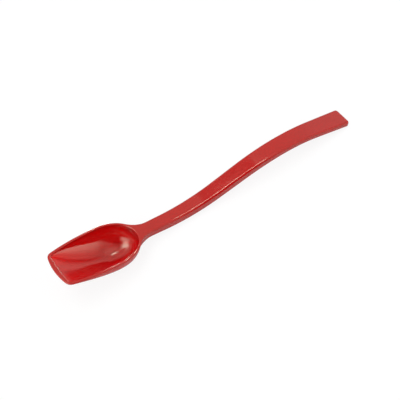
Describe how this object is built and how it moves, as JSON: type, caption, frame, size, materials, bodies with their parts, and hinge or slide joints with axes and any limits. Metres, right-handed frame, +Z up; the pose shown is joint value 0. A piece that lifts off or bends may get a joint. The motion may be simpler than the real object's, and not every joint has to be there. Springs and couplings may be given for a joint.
{
  "type": "serving spoon",
  "caption": "Serving spoon with a scoop bowl, a squared bowed front edge and an S-curved channel handle that widens to a rounded square end.",
  "frame": {"origin": "on the table under the middle of the spoon's length, where the spoon stands on the flat under its bowl and on the end of its handle", "axes": "+X from the bowl to the end of the handle, +Y to the spoon's left, +Z up from the table"},
  "size_m": [0.2574, 0.0364, 0.0253],
  "materials": {
    "red_plastic": "gloss"
  },
  "bodies": {
    "root": {"bowl": "red_plastic", "bowl_rim": "red_plastic", "front_lip": "red_plastic", "neck": "red_plastic", "handle_top": "red_plastic", "handle_left_side": "red_plastic", "handle_right_side": "red_plastic", "handle_end": "red_plastic"}
  },
  "joints": []
}
